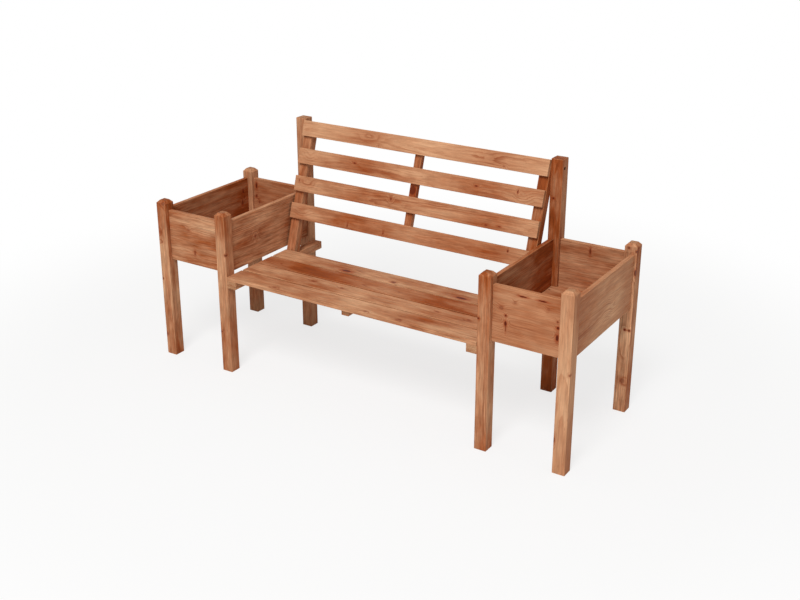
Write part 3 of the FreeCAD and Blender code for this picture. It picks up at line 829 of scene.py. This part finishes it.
# The floor keeps the shadow near the bench and runs out to plain white between two distances from its middle
FLOOR_SIZE = 120.0
FLOOR_COLOR = (0.80, 0.80, 0.80, 1.0)
SHADOW_NEAR = 1.3
SHADOW_FAR = 2.6
LEAST_WHITE = 0.75
WHITE = (1.0, 1.0, 1.0, 1.0)

# Even light all round, and one broad lamp high up in front
SKY_STRENGTH = 0.42
SKY_COLOR = (1.0, 0.98, 0.95, 1.0)
LAMP_PLACE = (1.9, -6.6, 8.6)
LAMP_AIM = (0, 0, 0.4)
LAMP_POWER = 860.0
LAMP_SIZE = 4.5

# The camera stands in front of the bench's right-hand end and looks down on it
CAMERA_AZIMUTH = 32.54
CAMERA_ELEVATION = 20.81
CAMERA_DISTANCE = 4.4
CAMERA_LENS = 50.72
SENSOR_WIDTH = 36.0
CAMERA_SHIFT = -0.05
AIM_HEIGHT = 0.475
AIM_RIGHT = 0.0526
AIM_UP = 0.0358


def seen_directly(graph):
    """1 for camera, glossy and transmission rays."""
    rays = graph.add("ShaderNodeLightPath").outputs
    total = graph.math("ADD", rays["Is Camera Ray"], rays["Is Glossy Ray"])
    return graph.math("ADD", total, rays["Is Transmission Ray"], clamp=True)


def floor():
    """A pale floor that holds the shadow near the bench and runs out to white."""
    mesh = bpy.data.meshes.new("floor")
    half = FLOOR_SIZE / 2
    corners = [(-half, -half, 0), (half, -half, 0), (half, half, 0), (-half, half, 0)]
    mesh.from_pydata(corners, [], [(0, 1, 2, 3)])
    plane = bpy.data.objects.new("floor", mesh)
    bpy.context.scene.collection.objects.link(plane)
    material, graph = new_material("pale_floor")
    place = graph.add("ShaderNodeTexCoord").outputs["Object"]
    away = graph.vector("LENGTH", place)
    fade = graph.ramp(away, SHADOW_NEAR, SHADOW_FAR, LEAST_WHITE, 1.0)
    white = graph.math("MULTIPLY", fade, seen_directly(graph))
    matt = graph.add("ShaderNodeBsdfDiffuse", Color=FLOOR_COLOR).outputs[0]
    bright = graph.add("ShaderNodeEmission", Color=WHITE, Strength=1.0).outputs[0]
    blend = graph.add("ShaderNodeMixShader")
    for socket, value in zip(blend.inputs, (white, matt, bright)):
        graph.feed(socket, value)
    graph.add("ShaderNodeOutputMaterial", Surface=blend.outputs[0])
    mesh.materials.append(material)


def sky():
    """Even light all round, and white where it is seen."""
    world = bpy.data.worlds.new("studio")
    world.use_nodes = True
    world.node_tree.nodes.clear()
    graph = Graph(world.node_tree)
    strength = graph.ramp(seen_directly(graph), 0.0, 1.0, SKY_STRENGTH, 1.0)
    tint = graph.mix(seen_directly(graph), SKY_COLOR, WHITE)
    light = graph.add("ShaderNodeBackground", Color=tint, Strength=strength)
    graph.add("ShaderNodeOutputWorld", Surface=light.outputs[0])
    bpy.context.scene.world = world


def lamp():
    """One broad soft light."""
    data = bpy.data.lights.new("key", "AREA")
    data.shape = "DISK"
    data.size = LAMP_SIZE
    data.energy = LAMP_POWER
    light = bpy.data.objects.new("key", data)
    light.location = LAMP_PLACE
    light.rotation_euler = (Vector(LAMP_AIM) - Vector(LAMP_PLACE)).to_track_quat("-Z", "Y").to_euler()
    bpy.context.scene.collection.objects.link(light)


def camera():
    """The camera at the photo's angle."""
    azimuth = math.radians(CAMERA_AZIMUTH)
    elevation = math.radians(CAMERA_ELEVATION)
    level = math.cos(elevation)
    back = Vector((math.sin(azimuth) * level, -math.cos(azimuth) * level, math.sin(elevation)))
    right = Vector((math.cos(azimuth), math.sin(azimuth), 0))
    up = back.cross(right)
    data = bpy.data.cameras.new("camera")
    data.sensor_width = SENSOR_WIDTH
    data.lens = CAMERA_LENS
    data.shift_y = CAMERA_SHIFT
    eye = bpy.data.objects.new("camera", data)
    eye.location = Vector((0, 0, AIM_HEIGHT)) + right * AIM_RIGHT + up * AIM_UP + back * CAMERA_DISTANCE
    eye.rotation_euler = (-back).to_track_quat("-Z", "Y").to_euler()
    bpy.context.scene.collection.objects.link(eye)
    bpy.context.scene.camera = eye


floor()
sky()
lamp()
camera()
bpy.context.scene.view_settings.view_transform = "Standard"
